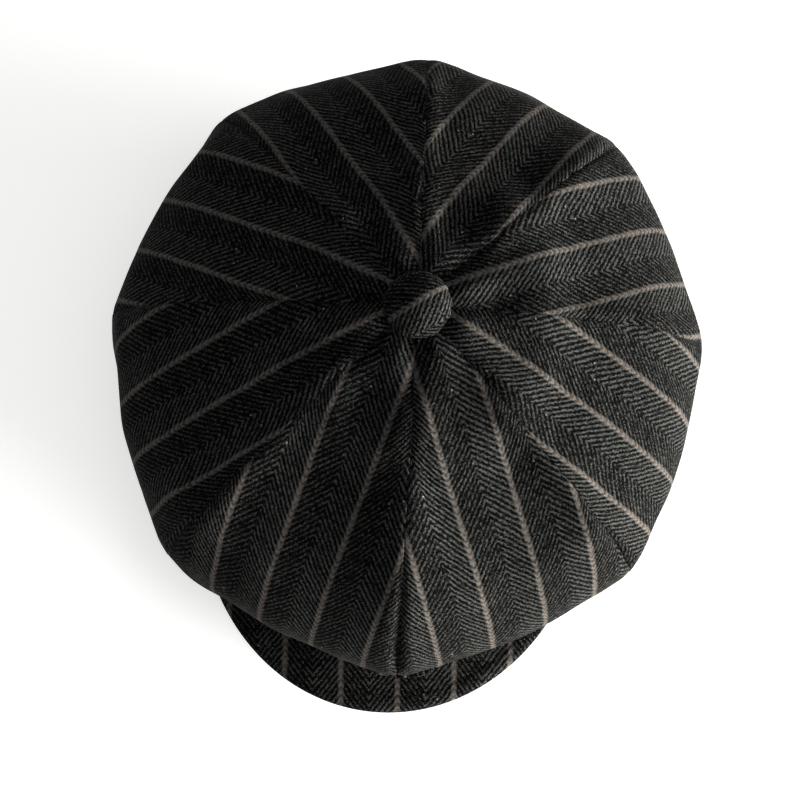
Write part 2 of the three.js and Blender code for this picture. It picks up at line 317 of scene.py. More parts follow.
def sheet_mesh(name, grid, cloth=None, wrap=False):
    """Mesh over a grid of points in millimetres, whose faces look the way that rows crossed with
    columns point. `cloth` gives each point's place on the flat cloth, in millimetres, for the
    UV map that the weave follows. Points that coincide are merged, unless the grid wraps."""
    rows, columns = grid.shape[:2]
    number = np.arange(rows * columns).reshape(rows, columns)
    if wrap:
        number = np.concatenate([number, number[:, :1]], 1)
    faces = np.stack([number[:-1, :-1], number[1:, :-1], number[1:, 1:], number[:-1, 1:]], -1)
    faces = faces.reshape(-1, 4)
    mesh = bpy.data.meshes.new(name)
    mesh.from_pydata((grid.reshape(-1, 3) * MM).tolist(), [], faces.tolist())
    if cloth is not None:
        layer = mesh.uv_layers.new(name="cloth")
        layer.data.foreach_set("uv", cloth.reshape(-1, 2)[faces.ravel()].ravel())
    if not wrap:
        merge_points(mesh)
    piece = bpy.data.objects.new(name, mesh)
    bpy.context.scene.collection.objects.link(piece)
    return piece


# The whole crown is first relaxed as one cloth: held at the button, the hem and, more loosely,
# along the seams, with 3% more cloth than the frame it hangs on, so that it buckles and sags.
SIM_COLUMNS = 16
SIM_ROWS = 52
SIM_FRAMES = 14
SIM_CAP = 4.0
SIM_SMOOTHING = 2
SEAM_GRIP = 0.6
FIRST_WAY = 0.03
azimuths = np.linspace(-math.pi, math.pi, 8 * SIM_COLUMNS + 1)[:-1]
ways = np.linspace(FIRST_WAY, 2.0, SIM_ROWS)
taut = dome(azimuths[None, :], ways[:, None], 0.0, HEM_GAP)


def relaxed_shift(grid):
    """How far each point of the crown moves in a short cloth simulation, capped at SIM_CAP."""
    piece = sheet_mesh("crown_cloth", grid, wrap=True)
    column = np.arange(grid.shape[1])
    seam_grip = np.where(column % SIM_COLUMNS == 0, SEAM_GRIP, 0.0)
    end_grip = (1 - smoothstep(ways, 0.08, 0.16)) + smoothstep(ways, 1.7, 1.95)
    grip = np.maximum(seam_grip[None, :], end_grip[:, None]).ravel()
    group = piece.vertex_groups.new(name="grip")
    for level in np.unique(grip):
        group.add(np.flatnonzero(grip == level).tolist(), float(level), "REPLACE")
    cloth = piece.modifiers.new("cloth", "CLOTH")
    settings = cloth.settings
    settings.quality = 8
    settings.mass = 0.2
    settings.tension_stiffness = 18
    settings.compression_stiffness = 18
    settings.shear_stiffness = 6
    settings.bending_stiffness = 1.0
    settings.shrink_min = -0.03
    settings.vertex_group_mass = "grip"
    settings.pin_stiffness = 1.0
    settings.effector_weights.gravity = 0.3
    scene = bpy.context.scene
    for step in range(1, SIM_FRAMES + 1):
        scene.frame_set(step)
    result = piece.evaluated_get(bpy.context.evaluated_depsgraph_get()).to_mesh()
    moved = np.zeros(len(result.vertices) * 3)
    result.vertices.foreach_get("co", moved)
    bpy.data.objects.remove(piece)
    scene.frame_set(1)
    shift = moved.reshape(grid.shape) / MM - grid
    size = np.linalg.norm(shift, axis=-1, keepdims=True)
    shift = shift * np.minimum(1, SIM_CAP / np.maximum(size, 1e-6))
    for _ in range(SIM_SMOOTHING):
        shift = (np.roll(shift, 1, 1) + 2 * shift + np.roll(shift, -1, 1)) / 4
        shift[1:-1] = (shift[:-2] + 2 * shift[1:-1] + shift[2:]) / 4
    return shift


crown_shift = relaxed_shift(taut)


def read_shift(azimuth, way):
    """The relaxed crown's shift at any azimuth and way: a bicubic reading of its grid, which
    wraps round the columns, with Keys's weights for the four nearest rows and columns."""
    row, column = np.broadcast_arrays((way - FIRST_WAY) / (ways[1] - ways[0]),
                                      (azimuth + math.pi) / (azimuths[1] - azimuths[0]))
    row = np.clip(row, 0, SIM_ROWS - 1)
    first_row, first_column = np.floor(row).astype(int), np.floor(column).astype(int)

    def weight(gap):
        near = (1.5 * gap - 2.5) * gap**2 + 1
        return np.where(gap <= 1, near, ((-0.5 * gap + 2.5) * gap - 4) * gap + 2)

    total = np.zeros((*row.shape, 3))
    for i in range(-1, 3):
        rows = np.clip(first_row + i, 0, SIM_ROWS - 1)
        down = weight(np.abs(row - first_row - i))
        for j in range(-1, 3):
            sideways = weight(np.abs(column - first_column - j))
            columns = (first_column + j) % len(azimuths)
            total += crown_shift[rows, columns] * (down * sideways)[..., None]
    return total


def smooth_noise(seed, u, v, cell):
    """Value noise: random heights on a square lattice, read between by a smooth cubic step."""
    lattice = np.random.default_rng(seed).uniform(-1, 1, (64, 64))
    x, y = u / cell + 700, v / cell + 700
    i, j = np.floor(x).astype(int), np.floor(y).astype(int)
    a, b = x - i, y - j
    a, b = a * a * (3 - 2 * a), b * b * (3 - 2 * b)
    near = lattice[i % 64, j % 64] * (1 - a) + lattice[(i + 1) % 64, j % 64] * a
    far = lattice[i % 64, (j + 1) % 64] * (1 - a) + lattice[(i + 1) % 64, (j + 1) % 64] * a
    return near * (1 - b) + far * b


def raised(grid, lift):
    """The grid with each point moved by lift along its normal, the cross product of the grid's
    two directions."""
    normal = np.cross(np.gradient(grid, axis=0), np.gradient(grid, axis=1))
    normal /= np.maximum(np.linalg.norm(normal, axis=-1, keepdims=True), 1e-9)
    return grid + normal * lift[..., None]


def thicken(piece, thickness):
    """Gives a sheet its thickness, behind its face, and a closed rim."""
    solid = piece.modifiers.new("thickness", "SOLIDIFY")
    solid.thickness = thickness * MM
    solid.offset = -1.0


def finish_cap_piece(piece, material, cad_node):
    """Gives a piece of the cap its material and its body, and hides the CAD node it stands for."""
    piece.data.materials.append(material)
    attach(piece, "cap")
    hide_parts(cad_node)


# Herringbone: twill ribs 2 mm apart lean 38 degrees from the stripes and turn back every half
# inch, so they meet in points. The ribs on one leg of the herringbone are drawn stronger than on the
# other, in the bump and in the colour; in the colour this is a painted highlight on the ribs that
# catch the light. One inch apart, on every second turn, two tan threads make a pinstripe of short
# dashes.
RIB_PITCH = 2.0
RIB_LEAN = math.radians(38)
STRIPE_HALF = 1.15


def herringbone_wool():
    """Milled woollen twill: matt, softly napped, black and grey yarns with a few pale slubs. The
    nap gives a faint sheen at grazing angles and hides the single threads."""
    material, tree = new_material("herringbone_wool")
    place = node(tree, "ShaderNodeUVMap", uv_map="cloth").outputs[0]
    sway = node(tree, "ShaderNodeTexNoise", {"Vector": place, "Scale": 0.11, "Detail": 2.0})
    centred = node(tree, "ShaderNodeVectorMath", {0: sway.outputs["Color"], 1: (0.5, 0.5, 0.5)},
                   operation="SUBTRACT")
    wander = node(tree, "ShaderNodeVectorMath", {0: centred, 3: 1.3}, operation="SCALE")
    thread = node(tree, "ShaderNodeVectorMath", {0: place, 1: wander}, operation="ADD")
    split = node(tree, "ShaderNodeSeparateXYZ", {0: thread})
    turn = node(tree, "ShaderNodeMath", {0: split.outputs[0], 1: INCH / 2}, operation="PINGPONG")
    rise = node(tree, "ShaderNodeMath", {0: split.outputs[1], 1: math.sin(RIB_LEAN)},
                operation="MULTIPLY")
    rib_place = node(tree, "ShaderNodeMath", {0: turn, 1: math.cos(RIB_LEAN), 2: rise},
                     operation="MULTIPLY_ADD")
    rib = node(tree, "ShaderNodeMath", {0: rib_place, 1: RIB_PITCH / 2}, operation="PINGPONG")
    run = node(tree, "ShaderNodeMath", {0: split.outputs[1], 1: math.cos(RIB_LEAN)},
               operation="MULTIPLY")
    along = node(tree, "ShaderNodeMath", {0: turn, 1: -math.sin(RIB_LEAN), 2: run},
                 operation="MULTIPLY_ADD")
    beads = node(tree, "ShaderNodeMath", {0: along, 1: 0.6}, operation="MULTIPLY")
    stretched = node(tree, "ShaderNodeCombineXYZ", {0: rib_place, 1: beads})
    yarn = node(tree, "ShaderNodeTexNoise",
                {"Vector": stretched, "Scale": 1.1, "Detail": 1.0, "Roughness": 0.6})
    floats = node(tree, "ShaderNodeTexVoronoi", {"Vector": stretched, "Scale": 2.1})
    shades = node(tree, "ShaderNodeSeparateColor", {0: floats.outputs["Color"]})
    float_height = node(tree, "ShaderNodeMath", {0: shades, 1: 0.9}, operation="MULTIPLY")
    fuzz = node(tree, "ShaderNodeTexNoise", {"Vector": place, "Scale": 1.4, "Detail": 3.0,
                                             "Roughness": 0.75})
    turns = node(tree, "ShaderNodeMath", {0: split.outputs[0], 1: 1 / INCH}, operation="MULTIPLY")
    column = node(tree, "ShaderNodeMath", {0: turns}, operation="FRACT")
    # Weights one leg's ribs more than the other's. It raises them in the bump, and in the colour it
    # is a painted highlight on the ribs that catch the light.
    rib_height_and_glint = node(tree, "ShaderNodeMapRange", {0: column, 1: 0.42, 2: 0.58, 3: 0.8, 4: 1.1})
    rib_share = node(tree, "ShaderNodeMath", {0: rib, 1: rib_height_and_glint, 2: float_height},
                     operation="MULTIPLY_ADD")
    mixed = node(tree, "ShaderNodeMath", {0: yarn.outputs[0], 1: 0.3, 2: rib_share},
                 operation="MULTIPLY_ADD")
    lit = node(tree, "ShaderNodeMath", {0: fuzz.outputs[0], 1: 2.4, 2: mixed},
               operation="MULTIPLY_ADD")
    grey = node(tree, "ShaderNodeMapRange", {0: lit, 1: 2.02, 2: 3.3},
                interpolation_type="SMOOTHSTEP")
    heather = node(tree, "ShaderNodeTexNoise", {"Vector": place, "Scale": 0.045, "Detail": 3.0})
    cool = node(tree, "ShaderNodeMix", {0: heather.outputs[0], 6: linear("#444847"),
                                        7: linear("#4f4d4a")}, data_type="RGBA")
    ground = node(tree, "ShaderNodeMix", {0: grey, 6: linear("#030303"), 7: cool.outputs[2]},
                  data_type="RGBA")
    ragged = node(tree, "ShaderNodeMath", {0: fuzz.outputs[0], 1: 2.6, 2: turn},
                  operation="MULTIPLY_ADD")
    stripe = node(tree, "ShaderNodeMapRange", {0: ragged, 1: STRIPE_HALF + 1.9,
                                               2: STRIPE_HALF + 0.8},
                  interpolation_type="SMOOTHSTEP")
    dash = node(tree, "ShaderNodeMapRange", {0: lit, 1: 1.7, 2: 2.9, 3: 0.25, 4: 1.0})
    shown = node(tree, "ShaderNodeMath", {0: stripe, 1: dash}, operation="MULTIPLY")
    tint = node(tree, "ShaderNodeTexNoise", {"Vector": place, "Scale": 0.07, "Detail": 1.0})
    tan = node(tree, "ShaderNodeMix", {0: tint.outputs[0], 6: linear("#635c57"),
                                       7: linear("#5d5a56")}, data_type="RGBA")
    striped = node(tree, "ShaderNodeMix", {0: shown, 6: ground.outputs[2], 7: tan.outputs[2]},
                   data_type="RGBA")
    slub = node(tree, "ShaderNodeTexVoronoi", {"Vector": place, "Scale": 0.16})
    nub = node(tree, "ShaderNodeMapRange", {0: slub.outputs["Distance"], 1: 0.08, 2: 0.04})
    cells = node(tree, "ShaderNodeSeparateColor", {0: slub.outputs["Color"]})
    rare = node(tree, "ShaderNodeMath", {0: cells.outputs[0], 1: 0.8}, operation="GREATER_THAN")
    fleck = node(tree, "ShaderNodeMath", {0: nub, 1: rare}, operation="MULTIPLY")
    cloth_colour = node(tree, "ShaderNodeMix", {0: fleck, 6: striped.outputs[2],
                                                7: linear("#7d7b77")}, data_type="RGBA")
    bump = node(tree, "ShaderNodeBump", {"Height": lit, "Strength": 0.35, "Distance": 0.25 * MM})
    shader = node(tree, "ShaderNodeBsdfPrincipled", {
        "Base Color": cloth_colour.outputs[2], "Roughness": 0.95, "Specular IOR Level": 0.06,
        "Sheen Weight": 0.1, "Sheen Roughness": 0.18, "Sheen Tint": linear("#d8d4cc"),
        "Normal": bump})
    node(tree, "ShaderNodeOutputMaterial", {"Surface": shader.outputs[0]})
    return material


wool = herringbone_wool()
GROOVE_DEPTH = 0.6
GROOVE_HALF = 1.7
ALLOWANCE_RISE = 0.45
ALLOWANCE_WIDTH = 7.0
GATHER = 0.8
FINE_COLUMNS = 96
FINE_ROWS = 170

# Each wedge was cut from the cloth where it fell: its stripes sit at a place of their own, given
# in millimetres from its middle at STRIPE_AT from the button, and they are turned from its middle
# by some degrees. In order from the front seam round by the right.
STRIPE_AT = 80.0
WEDGES = {
    "front_right": (13.7, 1.0), "right_front": (-4.2, 6.0), "right_back": (4.0, 0.0),
    "back_right": (1.0, 11.0), "back_left": (4.7, -11.0), "left_back": (-4.0, 0.0),
    "left_front": (5.0, -6.0), "front_left": (12.2, -3.5),
}
# Where a seam bends over the rim its cloth folds into a tuck, deepest and longest at the front.
SEAM_TUCK = np.array([4.6, 2.8, 3.4, 2.6, 0.8, 2.6, 1.2, 2.0, 4.6])


def wedge_grid(index, inset, hem_offset, first_way, columns, rows):
    """One wedge between its two seams, its cloth coordinates, each point's distance from the
    nearer seam, its way, and how far a tuck pinches it inwards. The dome, plus the relaxed shift,
    is pressed down by the tucks at the rim, in bell curves across each seam. On the cloth, u is
    the distance round from the wedge's middle, and v the distance down its spine."""
    share = np.linspace(0, 1, columns)[None, :]
    way = np.linspace(first_way, 2, rows)[:, None]
    azimuth = (index if index < 4 else index - 8) * WEDGE + share * WEDGE
    heading = lies(azimuth)
    width = heading[:, -1:] - heading[:, :1]
    way, share = np.broadcast_arrays(way, share)
    grid = dome(azimuth, way, inset, hem_offset)
    out = np.hypot(grid[..., 0] - button_x, grid[..., 1] - button_y)
    spine = grid[:, columns // 2]
    length = np.concatenate([[0], np.cumsum(np.linalg.norm(np.diff(spine, axis=0), axis=1))])
    u = out * (share - 0.5) * width
    v = np.repeat((length + out[0].mean())[:, None], columns, 1)
    from_seam = out * width * np.minimum(share, 1 - share)
    depth = np.where(share < 0.5, SEAM_TUCK[index], SEAM_TUCK[index + 1])
    bend = smoothstep(way, 0.64 - 0.045 * depth, 0.84) * (1 - smoothstep(way, 0.86, 0.98))
    grid = grid + read_shift(azimuth, way)
    grid[..., 2] -= depth * bend * np.exp(-((from_seam / (1.8 + 3.2 * bend)) ** 2))
    pinch = 0.35 * depth * bend * np.exp(-((from_seam / 1.6) ** 2))
    return grid, np.stack([u, v], -1), from_seam, way, pinch


for index, (name, (stripe_place, stripe_turn)) in enumerate(WEDGES.items()):
    face, cloth, from_seam, way, pinch = wedge_grid(
        index, 0.0, HEM_GAP, FIRST_WAY, FINE_COLUMNS, FINE_ROWS)
    u, v = cloth[..., 0], cloth[..., 1]
    ends = np.clip(v / 40, 0, 1)
    over_rim = smoothstep(way, 0.8, 0.96) * (1 - smoothstep(way, 1.1, 1.4))
    off_rim = 1 - 0.9 * over_rim
    lift = -GROOVE_DEPTH * np.exp(-((from_seam / GROOVE_HALF) ** 2)) * (0.3 + 0.7 * ends) * off_rim
    lift += ALLOWANCE_RISE / (1 + np.exp((from_seam - ALLOWANCE_WIDTH) / 0.7)) * ends * off_rim
    lift -= pinch
    lift += 0.25 * smooth_noise(30 + index, from_seam, v, 5.0) * np.exp(-from_seam / 6)
    lift += 0.4 * smooth_noise(50 + index, u, v, 17.0) * np.clip(from_seam / 8, 0, 1) * ends
    waves = 1.3 * smooth_noise(90 + index, u, v / 3, 15.0) * np.clip(from_seam / 10, 0, 1)
    lift += waves * ends * (1 - 0.6 * over_rim)
    lift += GATHER * smooth_noise(70 + index, u, v / 6, 6.0) * smoothstep(way, 1.25, 1.9)
    lean = math.radians(stripe_turn)
    grain_u = (u - stripe_place) * math.cos(lean) + (v - STRIPE_AT) * math.sin(lean)
    grain_v = (v - STRIPE_AT) * math.cos(lean) - (u - stripe_place) * math.sin(lean)
    wedge = sheet_mesh(f"wool_wedge_{name}", raised(face, lift), np.stack([grain_u, grain_v], -1))
    thicken(wedge, CLOTH_THICKNESS)
    finish_cap_piece(wedge, wool, f"crown_panel_{name}")

# --- Button ---
# A pressed steel shell is covered with a disc of the same wool, gathered in under it and held
# by the back plate. Its shank goes through the crown, where a washer grips it.
BUTTON_RADIUS = 14.3
BUTTON_CLOTH = 0.9
BUTTON_STRIPE_TURN = math.radians(38)
button_base = button_low[2] - 0.3
button_rise = button_high[2] - button_base
polar = np.linspace(0, 0.62 * math.pi, 56)[:, None]
round_ = np.linspace(0, 2 * math.pi, 145)[None, :]
# The cap of the button is a flattened ball, and below its widest ring the cloth turns under. The
# gathers are small waves round it that grow towards the underside.
gather_noise = smooth_noise(11, round_ % (2 * math.pi) * 64 / (2 * math.pi), 0 * polar, 1.0)
gathers = gather_noise * 0.55 * smoothstep(polar, 1.0, 1.9)
dome_noise = 0.25 * smooth_noise(12, polar * np.cos(round_) * 9, polar * np.sin(round_) * 9, 5.0)
ring = BUTTON_RADIUS * np.sin(polar) ** 0.9 + gathers
height = button_base + button_rise * np.where(polar < math.pi / 2, 1, 0.25) * np.cos(polar)
button_grid = np.stack([
    button_x + ring * np.cos(round_),
    button_y + ring * np.sin(round_),
    height + dome_noise * np.cos(np.minimum(polar, math.pi / 2)),
], -1)
slope = np.hypot(np.diff(ring.mean(1)), np.diff(height[:, 0]))
arc = np.concatenate([[0], np.cumsum(slope)])[:, None]
button_cloth = np.stack([arc * np.sin(round_ - BUTTON_STRIPE_TURN),
                         arc * np.cos(round_ - BUTTON_STRIPE_TURN)], -1)
button_cover = sheet_mesh("wool_button_cover", button_grid, button_cloth)
thicken(button_cover, BUTTON_CLOTH)
finish_cap_piece(button_cover, wool, "button_cover")


def zinc_plated_steel():
    """Thin steel, pressed in a die and zinc plated: bright grey, with fine press marks and duller
    patches where the plating is thin."""
    material, tree = new_material("zinc_plated_steel")
    place = node(tree, "ShaderNodeTexCoord").outputs["Object"]
    patch = node(tree, "ShaderNodeTexNoise", {"Vector": place, "Scale": 350.0, "Detail": 4.0})
    colour = node(tree, "ShaderNodeMix", {0: patch.outputs[0], 6: linear("#9a9c9e"),
                                          7: linear("#c3c5c6")}, data_type="RGBA")
    rough = node(tree, "ShaderNodeMapRange", {0: patch.outputs[0], 3: 0.45, 4: 0.25})
    marks = node(tree, "ShaderNodeTexNoise", {"Vector": place, "Scale": 1500.0})
    bump = node(tree, "ShaderNodeBump", {"Height": marks.outputs[0], "Strength": 0.2,
                                         "Distance": 0.05 * MM})
    shader = node(tree, "ShaderNodeBsdfPrincipled", {
        "Base Color": colour.outputs[2], "Roughness": rough, "Metallic": 1.0, "Normal": bump})
    node(tree, "ShaderNodeOutputMaterial", {"Surface": shader.outputs[0]})
    return material


zinc = zinc_plated_steel()
for name in ("button_shell", "button_back_plate", "button_shank", "button_washer"):
    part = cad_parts[name]
    part.data.materials.clear()
    part.data.materials.append(zinc)

# --- Lining ---
# Eight wedges of black satin, sewn like the crown and dropped inside it a little loose. Their
# hem is caught between the band's stiffener and the sweatband.
LINING_INSET = 4.5
LINING_HEM = -2.6
LINING_THICKNESS = 0.4
LINING_COLUMNS = 49
LINING_ROWS = 90


def black_satin():
    """Polyester satin: long floats of filament yarn make a smooth face with a broad soft gloss,
    and fine lines 0.35 mm apart, drawn coarser than the real yarns so that they show."""
    material, tree = new_material("black_satin")
    place = node(tree, "ShaderNodeUVMap", uv_map="cloth").outputs[0]
    split = node(tree, "ShaderNodeSeparateXYZ", {0: place})
    yarn = node(tree, "ShaderNodeMath", {0: split.outputs[0], 1: 0.175}, operation="PINGPONG")
    long_spots = node(tree, "ShaderNodeMapping", {"Vector": place, "Scale": (2.5, 0.35, 1.0)})
    floats = node(tree, "ShaderNodeTexNoise", {"Vector": long_spots, "Scale": 1.0, "Detail": 3.0})
    weave = node(tree, "ShaderNodeMath", {0: yarn, 1: 2.0, 2: floats.outputs[0]},
                 operation="MULTIPLY_ADD")
    wear = node(tree, "ShaderNodeTexNoise", {"Vector": place, "Scale": 0.05, "Detail": 3.0})
    colour = node(tree, "ShaderNodeMix", {0: wear.outputs[0], 6: linear("#17171a"),
                                          7: linear("#242428")}, data_type="RGBA")
    rough = node(tree, "ShaderNodeMapRange", {0: weave, 3: 0.3, 4: 0.44})
    bump = node(tree, "ShaderNodeBump", {"Height": weave, "Strength": 0.25, "Distance": 0.1 * MM})
    shader = node(tree, "ShaderNodeBsdfPrincipled", {
        "Base Color": colour.outputs[2], "Roughness": rough, "Specular IOR Level": 0.6,
        "Anisotropic": 0.5, "Sheen Weight": 0.1, "Normal": bump})
    node(tree, "ShaderNodeOutputMaterial", {"Surface": shader.outputs[0]})
    return material


satin = black_satin()


def lining_lift(u, v, from_seam, way, seed):
    """The lining's own folds: soft waves along each wedge, a dent along each seam, and close
    gathers at the hem."""
    waves = 0.9 * smooth_noise(seed, u, v / 3, 14.0) * np.clip(from_seam / 10, 0, 1)
    hem_gathers = 0.6 * smooth_noise(seed + 20, u, v / 8, 4.0) * smoothstep(way, 1.3, 1.8)
    seam_dent = 1.2 * np.exp(-((from_seam / 1.6) ** 2))
    return (waves - seam_dent) * np.clip(v / 30, 0, 1) - 0.6 * (
        1 - smoothstep(way, 1.6, 2.0)) + hem_gathers * (1 - smoothstep(way, 1.9, 2.0))


for index, name in enumerate(WEDGES):
    face, cloth, from_seam, way, pinch = wedge_grid(
        index, LINING_INSET, LINING_HEM, 0.0, LINING_COLUMNS, LINING_ROWS)
    lift = lining_lift(cloth[..., 0], cloth[..., 1], from_seam, way, 100 + index) - pinch
    lining = sheet_mesh(f"satin_wedge_{name}", raised(face, lift), cloth)
    thicken(lining, LINING_THICKNESS)
    finish_cap_piece(lining, satin, f"lining_panel_{name}")

# --- Peak ---
# A curved board is slipped between two wool covers, sewn together along the outer edge and
# turned right side out. The root is sewn to the band, and the crown droops over it in front.
PEAK_LENGTH = 100.0
PEAK_ARCH = 8.0
PEAK_SLOPE = 0.09
PEAK_THICKNESS = 4.8
COVER_THICKNESS = 1.2
BOARD_THICKNESS = 1.8
BOARD_DEPTH = 1.6
STRIPE_FROM_MIDDLE = 13.0
STRIPES_MEET_EDGE = -144.0
GRAIN_TURN = math.radians(6)
EDGE_ROUND = 2.35
BOARD_TRIM = 2.6
TOP_ROWS = 60
EDGE_ROWS = 9
peak_low, peak_high = box_mm("peak_top_cover")
peak_centre_y = peak_low[1] + PEAK_LENGTH
root_turn = math.acos((band_centre_y - peak_high[1]) / band_half[1])
edge_turn = math.acos((peak_centre_y - peak_high[1]) / PEAK_LENGTH)


def peak_grid(way, across, depth, rounding, trim=0.0):
    """Peak surface. Each line runs straight from the band's oval to the outer oval, at the same
    share of both arcs. Its height is that of the root, less a parabola across for the arch, less
    a slope outwards, less the depth. Past way 1 it turns round a quarter circle of radius
    `rounding`: down if that is positive, up if negative. `trim` shortens it at the edge."""
    inner, outer = across * root_turn, across * edge_turn
    root_x, root_y = band_half[0] * np.sin(inner), band_centre_y - band_half[1] * np.cos(inner)
    edge_x, edge_y = peak_high[0] * np.sin(outer), peak_centre_y - PEAK_LENGTH * np.cos(outer)
    length = np.hypot(edge_x - root_x, edge_y - root_y)
    radius = abs(rounding)
    turn = np.clip(way - 1, 0, 1) * math.pi / 2
    distance = np.clip(way, 0, 1) * (length - radius - trim) + radius * np.sin(turn)
    share = distance / length
    x, y = root_x + (edge_x - root_x) * share, root_y + (edge_y - root_y) * share
    fall = depth + rounding * (1 - np.cos(turn))
    z = peak_high[2] - PEAK_ARCH * (x / peak_high[0]) ** 2 - PEAK_SLOPE * distance - fall
    return np.stack([x, y, z], -1), distance, length


def finish_peak_piece(piece, cad_node):
    """Hides the CAD node that the piece replaces and bakes the piece's transform into its mesh."""
    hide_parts(cad_node)
    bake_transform(piece)


flat_way, edge_way = np.linspace(0, 1, TOP_ROWS), np.linspace(1, 2, EDGE_ROWS)[1:]
peak_way = np.concatenate([flat_way, edge_way])[:, None]
peak_across = np.linspace(-1, 1, 181)[None, :]
for name, depth, rounding in (("top", 0.0, EDGE_ROUND), ("under", PEAK_THICKNESS, -EDGE_ROUND)):
    grid, distance, length = peak_grid(peak_way, peak_across, depth, rounding)
    from_edge = length - distance
    rim_bead = 0.45 * smoothstep(-from_edge, -8, -6) * (1 - smoothstep(-from_edge, -3.0, -0.5))
    seam = -0.35 * smoothstep(peak_way, 1.75, 2.0)
    uneven = 0.22 * smooth_noise(140, grid[..., 0], grid[..., 1], 15.0)
    # Round the edge the cloth's place goes on outwards, square to the outline, by the arc that
    # the plan view hides.
    outline_step = np.gradient(grid[TOP_ROWS - 1, :, :2], axis=0)
    outward = np.stack([outline_step[:, 1], -outline_step[:, 0]], -1)
    outward = outward / np.linalg.norm(outward, axis=-1, keepdims=True)
    edge_turn_part = np.clip(peak_way - 1, 0, 1) * math.pi / 2
    hidden_arc = EDGE_ROUND * (edge_turn_part - np.sin(edge_turn_part))
    right = grid[..., 0] - STRIPE_FROM_MIDDLE + hidden_arc * outward[:, 0]
    back = grid[..., 1] - STRIPES_MEET_EDGE + hidden_arc * outward[:, 1]
    cloth = np.stack([right * math.cos(GRAIN_TURN) + back * math.sin(GRAIN_TURN),
                      back * math.cos(GRAIN_TURN) - right * math.sin(GRAIN_TURN)], -1)
    lift = rim_bead + seam + uneven * np.clip(from_edge / 10, 0, 1)
    if name == "under":
        grid, cloth, lift = grid[:, ::-1], cloth[:, ::-1], lift[:, ::-1]
    cover = sheet_mesh(f"wool_peak_{name}", raised(grid, lift), cloth)
    cover.data.materials.append(wool)
    thicken(cover, COVER_THICKNESS)
    finish_peak_piece(cover, f"peak_{name}_cover")


def moulded_board():
    """Peak board: polyethylene sheet cut and hot pressed to its curve. Off-white, waxy, with a
    fine pebble from the press."""
    material, tree = new_material("pressed_polyethylene")
    place = node(tree, "ShaderNodeTexCoord").outputs["Object"]
    pebble = node(tree, "ShaderNodeTexNoise", {"Vector": place, "Scale": 1200.0, "Detail": 2.0})
    cloud = node(tree, "ShaderNodeTexNoise", {"Vector": place, "Scale": 40.0})
    colour = node(tree, "ShaderNodeMix", {0: cloud.outputs[0], 6: linear("#d9d6cc"),
                                          7: linear("#e6e4dc")}, data_type="RGBA")
    bump = node(tree, "ShaderNodeBump", {"Height": pebble.outputs[0], "Strength": 0.2,
                                         "Distance": 0.05 * MM})
    shader = node(tree, "ShaderNodeBsdfPrincipled", {
        "Base Color": colour.outputs[2], "Roughness": 0.5, "IOR": 1.5, "Normal": bump})
    node(tree, "ShaderNodeOutputMaterial", {"Surface": shader.outputs[0]})
    return material


# The board stops short of the covers' edge, so the seam turned inside lies beyond it.
board_across = np.linspace(-1, 1, 121)[None, :]
board_way = np.linspace(0, 1, 30)[:, None]
board_face = peak_grid(board_way, board_across, BOARD_DEPTH, 0.0, BOARD_TRIM)[0]
board = sheet_mesh("peak_board_core", board_face)
board.data.materials.append(moulded_board())
thicken(board, BOARD_THICKNESS)
finish_peak_piece(board, "peak_board")

# --- Band and its stiffener ---
# A strip of the wool, folded in at the bottom, goes round under the crown. A strip of starched
# buckram behind it keeps the opening's shape.
BAND_BOTTOM = band_low[2]
RING_COLUMNS = 289
FOLD_WIDTH = 3.45
FOLD_HEIGHT = 2.6
CLOTH_WIDTH = 1.8


def oval_ring(profile, push=None):
    """A profile of offsets from the band's outer oval and heights, carried once round the head's
    oval from the back, and pushed outwards by push(angle, offset, height). Also its cloth
    coordinates: the distance round, and the distance down the profile."""
    angle = np.linspace(-math.pi, math.pi, RING_COLUMNS)[None, :]
    offset, z = profile[:, :1], profile[:, 1:]
    if push:
        offset = offset + push(angle, offset, z)
    grid = np.stack([(band_half[0] + offset) * np.sin(angle),
                     band_centre_y - (band_half[1] + offset) * np.cos(angle),
                     z + 0 * angle], -1)
    round_step = np.linalg.norm(np.diff(grid[0], axis=0), axis=1)
    round_length = np.concatenate([[0], np.cumsum(round_step)])
    down_step = np.hypot(np.diff(profile[:, 0]), np.diff(profile[:, 1]))
    down_length = np.concatenate([[0], np.cumsum(down_step)])
    u, v = np.broadcast_arrays(round_length[None, :], -down_length[:, None])
    return grid, np.stack([u, v], -1)


def strip_profile(outer, inner, low, high, radius, steps=26):
    """Closed outline of a strip on edge: down its outside, round the bottom on a half circle
    flattened to `radius`, up its inside and over a plain top."""
    side_z = np.linspace(high, low + radius, steps)
    turn = np.linspace(0, math.pi, 13)[1:-1]
    middle_offset, half = (outer + inner) / 2, (outer - inner) / 2
    down = np.stack([np.full(steps, outer), side_z], -1)
    under = np.stack([middle_offset + half * np.cos(turn), low + radius * (1 - np.sin(turn))], -1)
    up = np.stack([np.full(steps, inner), side_z[::-1]], -1)
    return np.concatenate([down, under, up, down[:1]])


def band_bulge(angle, offset, z):
    """The band's outside swells by up to 0.4 mm in slow waves; its inside stays put."""
    waves = 0.25 * np.sin(7 * angle + 1) + 0.15 * np.sin(17 * angle + 0.2 * z)
    return waves * smoothstep(offset, -1.6, -0.2)


# The cloth is folded in under the stiffener, so its outline widens from CLOTH_WIDTH to
# FOLD_WIDTH at the bottom.
fold = strip_profile(0.0, -FOLD_WIDTH, BAND_BOTTOM + 0.1, band_high[2], 0.9)
above_fold = (fold[:, 0] < 0.05 - FOLD_WIDTH) & (fold[:, 1] > BAND_BOTTOM + FOLD_HEIGHT)
band_profile = np.where(above_fold[:, None], fold + [FOLD_WIDTH - CLOTH_WIDTH, 0], fold)
band_grid, band_cloth = oval_ring(band_profile, band_bulge)
band = sheet_mesh("wool_band", band_grid, band_cloth)
finish_cap_piece(band, wool, "outer_band")
round_length = band_cloth[..., 0].max()


